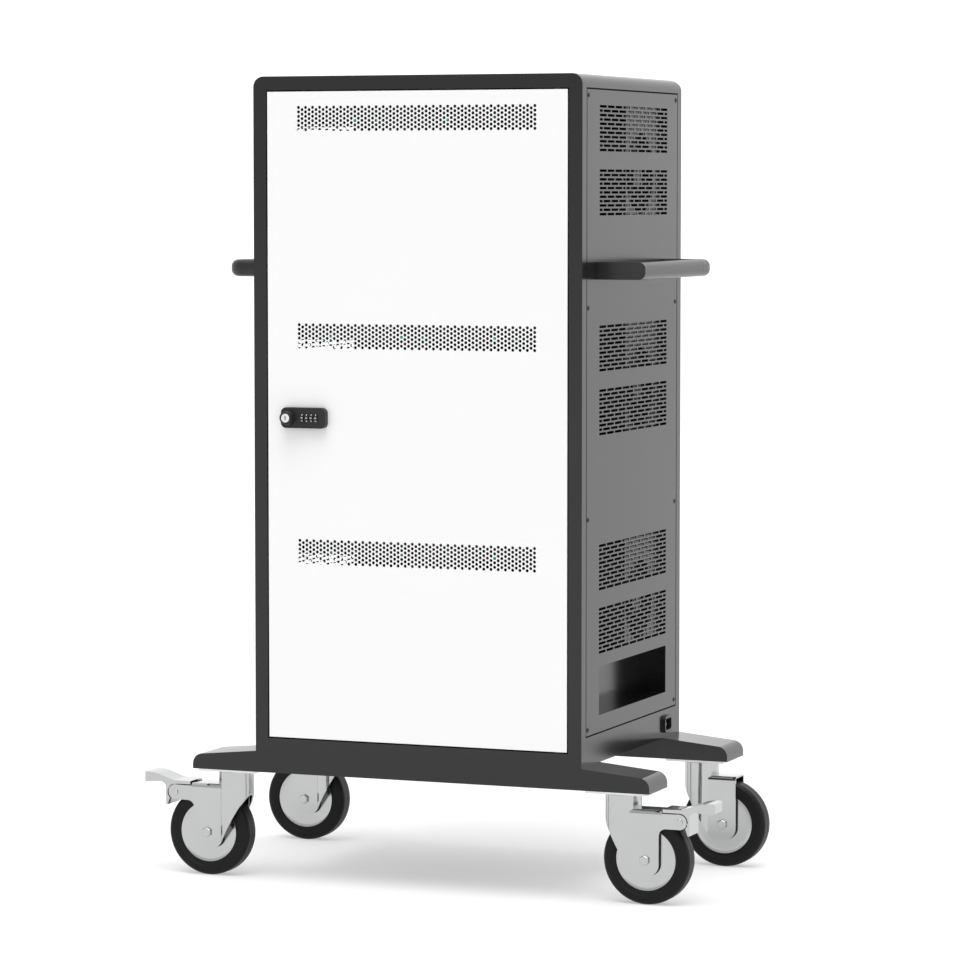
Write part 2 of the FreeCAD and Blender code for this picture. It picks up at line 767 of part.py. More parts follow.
def make_fork(has_brake):
    foot = wheel_radius - fork_leg_end
    slant_top = crown_top - fork_inner_drop
    behind = -fork_crown_radius - fork_sheet
    corners = [(behind, fork_web_top, 0), (behind, slant_top, 0),
               (behind + fork_slant_run, foot, fork_corner_radius), (leg_end_x, foot, fork_corner_radius)]
    if has_brake:
        reach = brake_x + brake_arm_radius
        corners += [(leg_end_x, brake_z - brake_arm_radius, brake_arm_radius),
                    (reach, brake_z - brake_arm_radius, brake_arm_radius),
                    (reach, brake_z + brake_arm_radius, brake_arm_radius),
                    (web_end_x, brake_z + brake_arm_radius, 0), (web_end_x, fork_web_top, 0)]
        end = web_end_x
    else:
        reach = leg_end_x
        corners += [(leg_end_x, fork_web_top, 0)]
        end = leg_end_x
    side_view = slab([outline(corners, in_xz(-fork_crown_radius))], Vector(0, 2 * fork_crown_radius, 0))
    rise = Vector(0, 0, fork_web_top - foot)
    wrap = slab([fork_plan(fork_crown_radius, fork_outer_half, reach, in_xy(foot))], rise)
    inner_radius = fork_crown_radius - fork_sheet
    hollow = slab([fork_plan(inner_radius, fork_inner_half, reach + fork_sheet, in_xy(foot))], rise)
    legs = wrap.cut(hollow).common(side_view)
    web = box(0, end, -fork_outer_half, fork_outer_half, fork_web_bottom, fork_web_top)
    channel = fuse(legs, web).cut([shoulder_corner(side, end) for side in (-1, 1)])
    cup = rod(fork_crown_radius, Vector(0, 0, fork_web_bottom), Vector(0, 0, crown_top))
    cup_hollow = rod(fork_crown_radius - fork_sheet, Vector(0, 0, fork_web_bottom),
                     Vector(0, 0, crown_top - fork_sheet))
    fork = fuse(channel, cup).cut(cup_hollow)
    holes = [rod(kingpin_radius + running_fit, Vector(0, 0, fork_web_bottom), Vector(0, 0, crown_top)),
             rod(axle_radius + running_fit, Vector(caster_trail, -fork_outer_half, wheel_radius),
                 Vector(caster_trail, fork_outer_half, wheel_radius))]
    if has_brake:
        holes.append(rod(brake_pin_radius + running_fit, Vector(brake_x, -fork_outer_half, brake_z),
                         Vector(brake_x, fork_outer_half, brake_z)))
    return fork.cut(holes)


# Wheels: a moulded hub with a raised rim and a boss, and a solid rubber tyre bonded round it
def spun(points):
    """Ring turned about the wheel axis from corners (radius, offset along the axis, rounding)."""
    place = lambda u, v: Vector(caster_trail + u, v, wheel_radius)
    face = Part.Face(outline(points, place))
    return face.revolve(Vector(caster_trail, 0, wheel_radius), Vector(0, 1, 0), 360)


def make_hub():
    bore = axle_radius + running_fit
    half = hub_face_width / 2
    rim = half + hub_rim_height
    boss = fork_inner_half - flat_fit
    return spun([(bore, -boss, 0), (hub_boss_radius, -boss, 0), (hub_boss_radius, -half, 0),
                 (hub_radius - hub_rim_width, -half, 0), (hub_radius - hub_rim_width, -rim, 0),
                 (hub_radius, -rim, 0), (hub_radius, rim, 0), (hub_radius - hub_rim_width, rim, 0),
                 (hub_radius - hub_rim_width, half, 0), (hub_boss_radius, half, 0),
                 (hub_boss_radius, boss, 0), (bore, boss, 0)])


def make_tyre():
    half = wheel_width / 2
    rim = hub_face_width / 2 + hub_rim_height
    return spun([(hub_radius, -rim, 0), (hub_radius + tyre_bead, -half, 0),
                 (wheel_radius, -half, tyre_shoulder), (wheel_radius, half, tyre_shoulder),
                 (hub_radius + tyre_bead, half, 0), (hub_radius, rim, 0)])


def make_axle():
    start = -fork_outer_half - axle_head_height
    nut_end = fork_outer_half + axle_head_height
    head = slab([hexagon_wire(axle_head_across, caster_trail, wheel_radius, in_xz(start))],
                Vector(0, axle_head_height, 0))
    shank = rod(axle_radius, Vector(caster_trail, -fork_outer_half, wheel_radius),
                Vector(caster_trail, nut_end, wheel_radius))
    nut_place = in_xz(fork_outer_half)
    nut = slab([hexagon_wire(axle_head_across, caster_trail, wheel_radius, nut_place),
                circle(caster_trail, wheel_radius, axle_radius + running_fit, nut_place)],
               Vector(0, axle_head_height, 0))
    return Part.Compound([fuse(head, shank), nut])


# Brake pedals of the front casters: a pressed channel that wraps the ends of the fork's arms,
# with a lug between the arms that turns on a riveted pin
def pedal_block(corners, half, rounding):
    """Side view given about the pin, as wide as half each way, with its upright tip edges rounded."""
    tip = brake_x + max(u for u, v, radius in corners)
    shifted = [(brake_x + u, brake_z + v, radius) for u, v, radius in corners]
    side_view = slab([outline(shifted, in_xz(-half))], Vector(0, 2 * half, 0))
    plan = outline([(0, -half, 0), (tip, -half, rounding), (tip, half, rounding), (0, half, 0)], in_xy(0))
    return side_view.common(slab([plan], Vector(0, 0, caster_height)))


def make_pedal():
    notch = brake_arm_radius + pedal_gap
    wall = notch + pedal_sheet
    back_top = notch + pedal_back_height
    tip_top = pedal_tip_low + pedal_tip_height
    wrap_end = notch * math.sqrt(0.5)
    wrap_turn = notch * math.tan(math.pi / 8)
    corners = [(-pedal_inner_reach, notch, 0), (notch, notch, notch), (notch, -wrap_turn, notch),
               (wrap_end, -wrap_end, 0), (notch, -pedal_wall_drop, 0), (wall, -pedal_wall_drop, 0),
               (wall, pedal_throat_height, pedal_throat_bend),
               (pedal_tip_reach, pedal_tip_low, pedal_tip_edge),
               (pedal_tip_reach, tip_top, pedal_tip_edge), (pedal_rise_end, tip_top, pedal_crown_bend),
               (pedal_rise_start, back_top, pedal_back_bend), (-pedal_inner_reach, back_top, 0)]
    channel = pedal_block(corners, fork_outer_half, pedal_tip_rounding)
    slope = (tip_top - back_top) / (pedal_rise_end - pedal_rise_start)
    under_end = pedal_tip_reach - pedal_sheet
    under = [(wall, 0, 0), (under_end, 0, 0), (under_end, tip_top - pedal_sheet, 0),
             (pedal_rise_end, tip_top - pedal_sheet, pedal_crown_bend),
             (wall, back_top + slope * (wall - pedal_rise_start) - pedal_sheet, 0)]
    hollow = pedal_block(under, fork_outer_half - pedal_sheet, pedal_tip_rounding - pedal_sheet)
    boss = rod(pedal_boss_radius, Vector(brake_x, -pedal_lug_half, brake_z),
               Vector(brake_x, pedal_lug_half, brake_z))
    lug = box(brake_x - pedal_boss_radius, brake_x + pedal_boss_radius, -pedal_lug_half, pedal_lug_half,
              brake_z, brake_z + notch + pedal_sheet)
    bore = rod(brake_pin_radius + running_fit, Vector(brake_x, -fork_outer_half, brake_z),
               Vector(brake_x, fork_outer_half, brake_z))
    return fuse(channel.cut(hollow), boss, lug).cut(bore)


def make_brake_pin():
    end = fork_outer_half
    shank = rod(brake_pin_radius, Vector(brake_x, -end, brake_z), Vector(brake_x, end, brake_z))
    near = rod(brake_rivet_radius, Vector(brake_x, -end - brake_rivet_height, brake_z),
               Vector(brake_x, -end, brake_z))
    far = rod(brake_rivet_radius, Vector(brake_x, end, brake_z),
              Vector(brake_x, end + brake_rivet_height, brake_z))
    return fuse(shank, near, far)


for caster_name, (caster_x, caster_y) in caster_places.items():
    has_brake = caster_name.startswith("front")
    pieces = {"fork": make_fork(has_brake), "hub": make_hub(), "tyre": make_tyre(), "axle": make_axle()}
    if has_brake:
        pieces["brake_pedal"] = make_pedal()
        pieces["brake_pin"] = make_brake_pin()
    for piece_name, piece in pieces.items():
        piece = piece if caster_x > 0 else mirrored(piece)
        piece.translate(Vector(caster_x, caster_y, 0))
        save(caster_name + "_" + piece_name, piece)


# Charging levels: shelves with a fan plate welded under each, device dividers, charging modules hung
# under the shelves and their lamps
def fan_peg_places(height):
    half = fan_peg_spacing / 2
    return [(fan_y + dy, height + dz) for dy in (-half, half) for dz in (-half, half)]


def make_shelf(height):
    board = box(-flange_inner, flange_inner, shelf_front, body_depth - shelf_rear_gap, height, height + sheet)
    lip = box(-flange_inner, flange_inner, shelf_front, shelf_front + sheet, height - shelf_lip, height)
    place = in_yz(fan_plate_x)
    edge = rectangle(fan_plate_start, fan_plate_start + fan_plate_width, height - fan_plate_height, height,
                     place)
    holes = [circle(fan_y, height - fan_drop, fan_opening_radius, place)]
    holes += [circle(y, z, fan_peg_radius + running_fit, place) for y, z in fan_peg_places(height - fan_drop)]
    return fuse(board, lip, slab([edge] + holes, Vector(sheet, 0, 0)))


def make_divider(index, floor):
    x = (index - slot_count / 2) * device_pitch - sheet / 2
    corners = [(divider_front, floor, 0), (divider_front + divider_depth, floor, 0),
               (divider_front + divider_depth, floor + divider_height, 0),
               (divider_front, floor + divider_height, divider_corner)]
    return slab([outline(corners, in_yz(x))], Vector(sheet, 0, 0))


def make_lamp(index, height):
    x = (index - (slot_count - 1) / 2) * device_pitch
    return rod(led_radius, Vector(x, module_front - led_length, height), Vector(x, module_front, height))


save("charging_shelves", *[make_shelf(height) for height in shelf_heights])
dividers = [make_divider(i, floor) for floor in level_floors for i in range(slot_count + 1)]
save("dividers", *dividers)
modules = [box(-module_width / 2, module_width / 2, module_front, module_front + module_depth,
               height - drop, height) for height, drop in zip(shelf_heights, module_drops)]
save("charging_modules", *modules)
save("charge_lamps", *[make_lamp(i, height) for height in led_heights for i in range(slot_count)])
supply_front = body_depth - supply_from_rear
save("power_supply", box(supply_left, supply_left + supply_width, supply_front, supply_front + supply_depth,
                         floor_top, floor_top + supply_height))


# Cooling fans: a moulded housing pegged into each fan plate, with a rotor that spins on its shaft
fan_back = fan_plate_x - fan_depth
fan_strut_front = fan_back + fan_strut_thickness


def about_fan(shape, angle, height):
    """Shape drawn about the x axis, turned round it and moved to a fan's axis."""
    copy = shape.copy()
    copy.rotate(Vector(0, 0, 0), Vector(1, 0, 0), angle)
    copy.translate(Vector(0, fan_y, height))
    return copy


def make_fan_housing(height):
    half = fan_size / 2
    place = in_yz(fan_back)
    ring = slab([rectangle(fan_y - half, fan_y + half, height - half, height + half, place, fan_rounding),
                 circle(fan_y, height, fan_opening_radius, place)], Vector(fan_depth, 0, 0))
    strut = box(fan_back, fan_strut_front, -fan_strut_width / 2, fan_strut_width / 2, 0, half)
    turns = [(i + 0.5) * 360 / fan_strut_count for i in range(fan_strut_count)]
    pieces = [about_fan(strut, turn, height) for turn in turns]
    pieces.append(rod(fan_hub_radius, Vector(fan_back, fan_y, height),
                      Vector(fan_strut_front, fan_y, height)))
    pieces.append(rod(fan_shaft_radius, Vector(fan_strut_front, fan_y, height),
                      Vector(fan_strut_front + fan_shaft_length, fan_y, height)))
    for y, z in fan_peg_places(height):
        pieces.append(rod(fan_peg_radius, Vector(fan_plate_x, y, z), Vector(fan_plate_x + sheet, y, z)))
    return fuse(ring, *pieces)


def make_fan_rotor(height):
    start = fan_strut_front + fan_hub_setback
    middle = start + fan_hub_depth / 2
    bore_end = fan_strut_front + fan_shaft_length + flat_fit
    blade = box(-fan_blade_chord / 2, fan_blade_chord / 2, -fan_blade_thickness / 2, fan_blade_thickness / 2,
                fan_hub_radius - fan_blade_thickness, fan_blade_reach)
    blade.rotate(Vector(0, 0, 0), Vector(0, 0, 1), fan_blade_pitch)
    blade.translate(Vector(middle, 0, 0))
    blades = [about_fan(blade, i * 360 / fan_blade_count, height) for i in range(fan_blade_count)]
    hub = rod(fan_hub_radius, Vector(start, fan_y, height), Vector(start + fan_hub_depth, fan_y, height))
    bore = rod(fan_shaft_radius + running_fit, Vector(start, fan_y, height), Vector(bore_end, fan_y, height))
    return fuse(hub, *blades).cut(bore)


save("fan_housings", *[make_fan_housing(height) for height in fan_heights])
for fan_index, fan_height in enumerate(fan_heights):
    save("fan_rotor_" + str(fan_index + 1), make_fan_rotor(fan_height))


# Door: a perforated skin on a folded frame, hung on pins at its upper and lower right corners
def strip_holes(place):
    wires = []
    for strip_top in strip_tops:
        for column in range(hole_columns):
            x = (column - (hole_columns - 1) / 2) * hole_column_pitch
            shift = column % 2
            for row in range(hole_rows - shift):
                wires.append(circle(x, strip_top - (row + shift / 2) * hole_row_pitch, hole_radius, place))
    return wires


lock_right = lock_left + lock_length
lock_low = lock_z - lock_height / 2
lock_high = lock_z + lock_height / 2
skin_place = in_xz(0)
skin_edge = rectangle(-door_half, door_half, door_bottom, door_top, skin_place)
lock_cutout = rectangle(lock_left + lock_rim, lock_right - lock_rim, lock_low + lock_rim,
                        lock_high - lock_rim,
                        skin_place, lock_rounding - lock_rim)
save("door_skin", slab([skin_edge, lock_cutout] + strip_holes(skin_place), Vector(0, sheet, 0)))


def door_ring(inset, start, depth):
    place = in_xz(start)
    outer = rectangle(-door_half, door_half, door_bottom, door_top, place)
    inner = rectangle(-door_half + inset, door_half - inset, door_bottom + inset, door_top - inset, place)
    return slab([outer, inner], Vector(0, depth, 0))


def make_door_frame():
    wall = door_ring(sheet, sheet, door_thickness - sheet)
    lip = door_ring(door_lip, door_thickness - sheet, sheet)
    blocks = []
    for low in (door_bottom + sheet, door_top - sheet - hinge_block_height):
        blocks.append(box(hinge_x - hinge_inset + sheet, door_half - sheet, sheet, door_thickness - sheet,
                          low, low + hinge_block_height))
    frame = fuse(wall, lip, *blocks)
    pin_hole = rod(hinge_pin_radius + running_fit, Vector(hinge_x, hinge_setback, door_bottom),
                   Vector(hinge_x, hinge_setback, door_top))
    return frame.cut(pin_hole)


save("door_frame", make_door_frame())


# Hinge pins hang in the frame's returns and reach into the door; bushes fill the gap between them
def make_hinge_pin(seat, inward):
    """Pin with its head on the far side of the return at height seat, pointing into the door."""
    up = Vector(0, 0, inward)
    head_seat = Vector(hinge_x, hinge_setback, seat - inward * frame_sheet)
    length = frame_sheet + door_gap + sheet + hinge_block_height
    head_radius = hinge_setback - frame_sheet - flat_fit
    head = rod(head_radius, head_seat - up * hinge_pin_head_height, head_seat)
    return fuse(head, rod(hinge_pin_radius, head_seat, head_seat + up * length))


def make_hinge_bush(low):
    place = in_xy(low)
    return slab([circle(hinge_x, hinge_setback, hinge_bush_radius, place),
                 circle(hinge_x, hinge_setback, hinge_pin_radius + running_fit, place)],
                Vector(0, 0, door_gap))


save("hinge_pivots", make_hinge_pin(opening_bottom, 1), make_hinge_pin(opening_top, -1),
     make_hinge_bush(opening_bottom), make_hinge_bush(door_top))


# Combination cam lock: housing, knob with its shaft, key plug, number dials on an axle, cam and strike
def dial_place(index):
    return dial_x + (index - (dial_count - 1) / 2) * dial_pitch


def dial_rod(radius, start, end):
    return rod(radius, Vector(start, dial_y, lock_z), Vector(end, dial_y, lock_z))


housing_half = dial_count * dial_pitch / 2 + lock_rim
pocket_radius = dial_radius + dial_clearance


def make_lock_body():
    plate = slab([rectangle(lock_left, lock_right, lock_low, lock_high, in_xz(-lock_thickness),
                            lock_rounding)],
                 Vector(0, lock_thickness, 0))
    housing = box(dial_x - housing_half, dial_x + housing_half, 0, lock_housing_depth,
                  lock_z - pocket_radius - sheet, lock_z + pocket_radius + sheet)
    barrel = rod(barrel_radius, Vector(knob_x, 0, lock_z), Vector(knob_x, cam_y - flat_fit, lock_z))
    cuts = [rod(shaft_radius + running_fit, Vector(knob_x, -lock_thickness, lock_z),
                Vector(knob_x, cam_y, lock_z)),
            dial_rod(dial_axle_radius + running_fit, dial_x - housing_half, dial_x + housing_half)]
    for i in range(dial_count):
        half = dial_width / 2 + dial_clearance / 2
        cuts.append(dial_rod(pocket_radius, dial_place(i) - half, dial_place(i) + half))
    return fuse(plate, housing, barrel).cut(cuts)


def make_knob():
    base_y = -lock_thickness - flat_fit
    grip = Part.makeCone(knob_radius, knob_front_radius, knob_reach + base_y, Vector(knob_x, base_y, lock_z),
                         Vector(0, -1, 0))
    shaft = rod(shaft_radius, Vector(knob_x, base_y, lock_z), Vector(knob_x, cam_y, lock_z))
    spigot = rod(cam_spigot_radius, Vector(knob_x, cam_y, lock_z),
                 Vector(knob_x, cam_y + cam_thickness + cam_spigot_proud, lock_z))
    socket = rod(key_plug_radius + running_fit, Vector(knob_x, -knob_reach, lock_z),
                 Vector(knob_x, key_plug_depth - knob_reach, lock_z))
    return fuse(grip, shaft, spigot).cut(socket)


def make_key_plug():
    plug = rod(key_plug_radius, Vector(knob_x, -knob_reach, lock_z),
               Vector(knob_x, key_plug_depth - knob_reach, lock_z))
    keyway = box(knob_x - keyway_width / 2, knob_x + keyway_width / 2, -knob_reach, keyway_depth - knob_reach,
                 lock_z - keyway_height / 2, lock_z + keyway_height / 2)
    return plug.cut(keyway)


def make_cam():
    place = in_xz(cam_y)
    edge = rectangle(knob_x - cam_width / 2, knob_x + cam_width / 2, lock_z - cam_width / 2,
                     lock_z + cam_length,
                     place, cam_rounding)
    hole = circle(knob_x, lock_z, cam_spigot_radius + running_fit, place)
    return slab([edge, hole], Vector(0, cam_thickness, 0))


def make_dial(index):
    start = dial_place(index) - dial_width / 2
    end = dial_place(index) + dial_width / 2
    return dial_rod(dial_radius, start, end).cut(dial_rod(dial_axle_radius + running_fit, start, end))


strike_front = door_thickness + strike_setback
save("lock_body", make_lock_body())
save("lock_knob", make_knob())
save("key_plug", make_key_plug())
save("lock_cam", make_cam())
save("dial_axle", dial_rod(dial_axle_radius, dial_x - housing_half, dial_x + housing_half))
for dial_index in range(dial_count):
    save("dial_" + str(dial_index + 1), make_dial(dial_index))
save("strike_plate", box(-opening_half, strike_reach - opening_half, strike_front,
                         strike_front + strike_thickness,
                         lock_z - strike_height / 2, lock_z + strike_height / 2))
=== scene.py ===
import bmesh
import bpy
import json
from math import cos, pi, radians, sin
from mathutils import Matrix, Vector


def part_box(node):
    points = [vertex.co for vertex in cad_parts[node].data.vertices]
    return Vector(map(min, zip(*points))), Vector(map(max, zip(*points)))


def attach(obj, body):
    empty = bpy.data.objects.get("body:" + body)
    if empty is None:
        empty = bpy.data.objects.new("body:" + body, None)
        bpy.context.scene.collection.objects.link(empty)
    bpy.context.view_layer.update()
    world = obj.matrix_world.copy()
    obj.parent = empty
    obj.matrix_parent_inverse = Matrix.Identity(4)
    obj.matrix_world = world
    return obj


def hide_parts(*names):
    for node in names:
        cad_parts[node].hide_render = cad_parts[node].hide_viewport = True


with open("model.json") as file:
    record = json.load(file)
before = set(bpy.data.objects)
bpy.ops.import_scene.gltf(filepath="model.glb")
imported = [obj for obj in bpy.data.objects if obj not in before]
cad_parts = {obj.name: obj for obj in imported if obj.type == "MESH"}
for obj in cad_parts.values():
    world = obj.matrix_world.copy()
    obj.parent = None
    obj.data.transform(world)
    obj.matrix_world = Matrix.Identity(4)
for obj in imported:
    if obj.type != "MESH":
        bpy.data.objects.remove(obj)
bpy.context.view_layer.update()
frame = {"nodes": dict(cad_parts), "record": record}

# Base beams: two closed box sections of welded steel plate that carry the body and the casters.
# They are blasted, powder coated in glossy anthracite and welded under the floor pan, so all their
# outer edges are eased by a light linishing and the thickness of the coat.
nodes = frame["nodes"]
node_bodies = {}
for body_name, body_nodes in frame["record"]["behaviour"]["bodies"].items():
    for node_name in body_nodes:
        node_bodies[node_name] = body_name
node_slots = {part["node"]: part["material_slot"] for part in frame["record"]["subparts"]}
same_point = 2e-6
same_plane = radians(0.5)
crease_angle = radians(35.0)


def grain_group(name, fine_scale, broad_scale, depth, stretch=(1.0, 1.0, 1.0)):
    """Shader group for a coated, plated or moulded skin: drift of colour and roughness, and fine relief."""
    group = bpy.data.node_groups.new(name, "ShaderNodeTree")
    for label, kind in (("Light", "NodeSocketColor"), ("Dark", "NodeSocketColor"),
                        ("Smooth", "NodeSocketFloat"), ("Rough", "NodeSocketFloat")):
        group.interface.new_socket(name=label, in_out="INPUT", socket_type=kind)
    for label, kind in (("Color", "NodeSocketColor"), ("Roughness", "NodeSocketFloat"),
                        ("Normal", "NodeSocketVector")):
        group.interface.new_socket(name=label, in_out="OUTPUT", socket_type=kind)
    tree = group.nodes
    links = group.links
    inside = tree.new("NodeGroupInput")
    outside = tree.new("NodeGroupOutput")
    place = tree.new("ShaderNodeTexCoord")
    mapping = tree.new("ShaderNodeMapping")
    mapping.inputs["Scale"].default_value = stretch
    broad = tree.new("ShaderNodeTexNoise")
    broad.inputs["Scale"].default_value = broad_scale
    broad.inputs["Detail"].default_value = 3.0
    fine = tree.new("ShaderNodeTexNoise")
    fine.inputs["Scale"].default_value = fine_scale
    fine.inputs["Detail"].default_value = 2.0
    tint = tree.new("ShaderNodeMix")
    tint.data_type = "RGBA"
    matt = tree.new("ShaderNodeMix")
    matt.data_type = "FLOAT"
    relief = tree.new("ShaderNodeBump")
    relief.inputs["Strength"].default_value = 0.25
    relief.inputs["Distance"].default_value = depth
    links.new(place.outputs["Object"], mapping.inputs["Vector"])
    links.new(place.outputs["Object"], broad.inputs["Vector"])
    links.new(mapping.outputs["Vector"], fine.inputs["Vector"])
    links.new(broad.outputs["Fac"], tint.inputs["Factor"])
    links.new(inside.outputs["Light"], tint.inputs["A"])
    links.new(inside.outputs["Dark"], tint.inputs["B"])
    links.new(broad.outputs["Fac"], matt.inputs["Factor"])
    links.new(inside.outputs["Smooth"], matt.inputs["A"])
    links.new(inside.outputs["Rough"], matt.inputs["B"])
    links.new(fine.outputs["Fac"], relief.inputs["Height"])
    links.new(tint.outputs["Result"], outside.inputs["Color"])
    links.new(matt.outputs["Result"], outside.inputs["Roughness"])
    links.new(relief.outputs["Normal"], outside.inputs["Normal"])
    return group


def finish_from(name, group, light, dark, smooth, rough, **sockets):
    """Material with the drift and relief of a grain group, and its other sockets as they are given."""
    material = bpy.data.materials.new(name)
    material.use_nodes = True
    tree = material.node_tree
    surface = tree.nodes["Principled BSDF"]
    grain = tree.nodes.new("ShaderNodeGroup")
    grain.node_tree = group
    grain.inputs["Light"].default_value = (*light, 1.0)
    grain.inputs["Dark"].default_value = (*dark, 1.0)
    grain.inputs["Smooth"].default_value = smooth
    grain.inputs["Rough"].default_value = rough
    tree.links.new(grain.outputs["Color"], surface.inputs["Base Color"])
    tree.links.new(grain.outputs["Roughness"], surface.inputs["Roughness"])
    tree.links.new(grain.outputs["Normal"], surface.inputs["Normal"])
    for socket, value in sockets.items():
        surface.inputs[socket.replace("_", " ")].default_value = value
    return material


def dress(node, material):
    """Gives a carried-over node its finish."""
    for slot in nodes[node].material_slots:
        slot.material = material


def add_piece(name, bm, material, body, slot, *stands_for, crease=crease_angle):
    """Finished piece from a bmesh, riding on a body: smooth up to its creases, with flats kept flat."""
    mesh = bpy.data.meshes.new(name)
    bm.to_mesh(mesh)
    bm.free()
    mesh.shade_smooth()
    mesh.set_sharp_from_angle(angle=crease)
    mesh.materials.append(material)
    piece = bpy.data.objects.new(name, mesh)
    bpy.context.scene.collection.objects.link(piece)
    piece.modifiers.new("flat_faces", "WEIGHTED_NORMAL").keep_sharp = True
    finished = piece.evaluated_get(bpy.context.evaluated_depsgraph_get())
    piece.data = bpy.data.meshes.new_from_object(finished)
    piece.modifiers.clear()
    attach(piece, body)
    if stands_for:
        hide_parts(*stands_for)


def add_piece_for(node, ending, bm, material):
    """Finished piece in place of a node, named after it and on the same body."""
    add_piece(node + ending, bm, material, node_bodies[node], node_slots[node], node)


def node_bmesh(node):
    """Copy of a node's solids with their loose triangles merged into whole flat faces."""
    bm = bmesh.new()
    bm.from_mesh(nodes[node].data)
    bmesh.ops.remove_doubles(bm, verts=bm.verts[:], dist=same_point)
    bmesh.ops.dissolve_limit(bm, angle_limit=same_plane, use_dissolve_boundaries=False,
                             verts=bm.verts[:], edges=bm.edges[:], delimit=set())
    return bm


def soften(bm, width, where=lambda edge: True):
    """Rounds the sharp edges of a shape, or only those that a test picks."""
    sharp = [edge for edge in bm.edges
             if edge.is_manifold and edge.calc_face_angle() > crease_angle and where(edge)]
    bmesh.ops.bevel(bm, geom=sharp, offset=width, offset_type="OFFSET", segments=3, profile=0.5,
                    affect="EDGES", clamp_overlap=True, material=-1)


def ease(node, easing, material, where=lambda edge: True):
    """Piece in place of a node: the same solid with its edges eased."""
    bm = node_bmesh(node)
    soften(bm, easing, where=where)
    add_piece_for(node, "_eased", bm, material)


beam_easing = 0.0013
anthracite_look = {"light": (0.0130, 0.0132, 0.0136), "dark": (0.0110, 0.0112, 0.0116),
                   "smooth": 0.15, "rough": 0.20, "Specular_IOR_Level": 0.4}
coat_grain = grain_group("powder_coat_grain", fine_scale=900.0, broad_scale=6.0, depth=0.00002)
anthracite = finish_from("anthracite_powder_coat", coat_grain, **anthracite_look)
ease("base_beams", beam_easing, anthracite)

# Caster heads: top plate, four countersunk bolts, ball race and kingpin, all of steel that is
# blue-white zinc plated. The plates are bolted up against the beams.
plate_easing = 0.0003
zinc_grain = grain_group("zinc_plate_grain", fine_scale=420.0, broad_scale=40.0, depth=0.00002)
zinc_plate = finish_from("zinc_plate", zinc_grain, light=(0.72, 0.73, 0.75), dark=(0.64, 0.65, 0.67),
                         smooth=0.26, rough=0.36, Metallic=1.0)
ease("caster_heads", plate_easing, zinc_plate)
ease("caster_bolts", plate_easing, zinc_plate)

# Forks: each is bent from one steel blank round the swivel crown, and bright nickel plated over a
# finely brushed face. The axle bolt and, on the front pair, the riveted brake pin go through its legs.
fork_easing = 0.0005
axle_head_easing = 0.0012
clear_of_shank = 0.0056
brush_strokes = (1.0, 1.0, 0.06)
brushed_grain = grain_group("brushed_grain", fine_scale=300.0, broad_scale=30.0, depth=0.00001,
                            stretch=brush_strokes)
bright_steel = finish_from("bright_plated_steel", brushed_grain, light=(0.49, 0.493, 0.497),
                           dark=(0.455, 0.458, 0.462), smooth=0.11, rough=0.16, Metallic=1.0)
casters = ("front_left", "front_right", "rear_left", "rear_right")
for caster in casters:
    ease(caster + "_fork", fork_easing, bright_steel)
    axle_low, axle_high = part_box(caster + "_axle")
    axle_line = (axle_low + axle_high).xz / 2
    ease(caster + "_axle", axle_head_easing, bright_steel,
         where=lambda edge: all((vert.co.xz - axle_line).length > clear_of_shank for vert in edge.verts))

# Brake pedals: pressed steel channels over the arms of the front forks, plated like the forks and
# hung on pins that are riveted over at both ends.
pedal_easing = 0.0011
pin_easing = 0.0006
for caster in casters[:2]:
    ease(caster + "_brake_pedal", pedal_easing, bright_steel)
    ease(caster + "_brake_pin", pin_easing, bright_steel)

# Wheels: a plated steel disc hub that rises to its rim, with a boss each side, and a solid black rubber
# tyre bonded round it, with a fine parting line round the tread and a bead against the rim.
wheel_axis = Vector((0, 1, 0))
wheel_radius = 0.0625
hub_radius = 0.043
hub_bore = 0.00505
hub_boss = 0.011
hub_boss_foot = hub_boss + 0.0008
hub_boss_face = 0.0167
hub_face = 0.0130
hub_rim_width = 0.0060
hub_rim_face = 0.0140
hub_easing = 0.0003
hub_steps = 96
tread_half = 0.0155
shoulder = 0.0070
shoulder_turns = range(0, 91, 15)
parting_line = 0.0005
bead_top = hub_radius + 0.0070
bead_foot = hub_radius + 0.0030
bead_slope = 0.0005
bead_dip = 0.0004
tyre_lip = 0.0001
tyre_steps = 128
rubber_grain = grain_group("rubber_grain", fine_scale=650.0, broad_scale=30.0, depth=0.00006)
tyre_black = finish_from("tyre_black_rubber", rubber_grain, light=(0.0065, 0.0065, 0.007),
                         dark=(0.0045, 0.0045, 0.005), smooth=0.40, rough=0.50, Specular_IOR_Level=0.19)


def spun_wheel_part(profile, centre, steps):
    """Closed ring spun round a wheel's axis from its corners (radius, offset along the axis)."""
    bm = bmesh.new()
    verts = [bm.verts.new(centre + Vector((radius, 0, 0)) + wheel_axis * offset)
             for radius, offset in profile]
    edges = [bm.edges.new((verts[i], verts[i - 1])) for i in range(len(verts))]
    bmesh.ops.spin(bm, geom=verts + edges, cent=centre, axis=wheel_axis, angle=2 * pi, steps=steps,
                   use_merge=True)
    bmesh.ops.remove_doubles(bm, verts=bm.verts[:], dist=1e-7)
    bmesh.ops.recalc_face_normals(bm, faces=bm.faces[:])
    return bm


def both_sides(half):
    """Whole profile of a part that is the same on both sides, from the half at positive offsets."""
    return half + [(radius, -offset) for radius, offset in reversed(half) if offset > 0]


